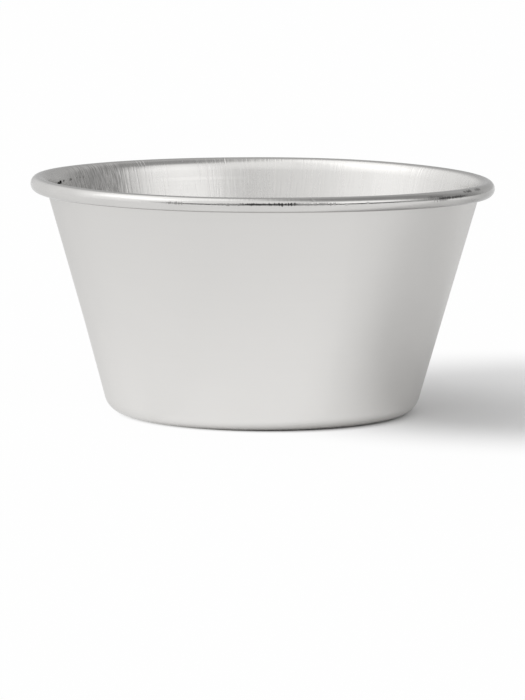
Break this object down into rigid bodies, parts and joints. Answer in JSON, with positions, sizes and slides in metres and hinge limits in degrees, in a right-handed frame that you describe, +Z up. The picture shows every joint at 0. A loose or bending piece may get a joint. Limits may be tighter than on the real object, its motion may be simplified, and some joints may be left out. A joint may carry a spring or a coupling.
{
  "type": "pudding mould",
  "caption": "Tapered round aluminium cup with a flat base, rounded bottom corner and outward rolled rim, for baking or steaming and turning out a single pudding.",
  "frame": {"origin": "centre of the flat base, on the surface the mould stands on", "axes": "+Z up along the axis of revolution, towards the rim; the body is round, so +X and +Y are free"},
  "size_m": [0.09, 0.09, 0.046],
  "materials": {
    "aluminium": "satin, drawn and brushed, uncoated"
  },
  "bodies": {
    "root": {"mould_body": "aluminium"}
  },
  "joints": []
}
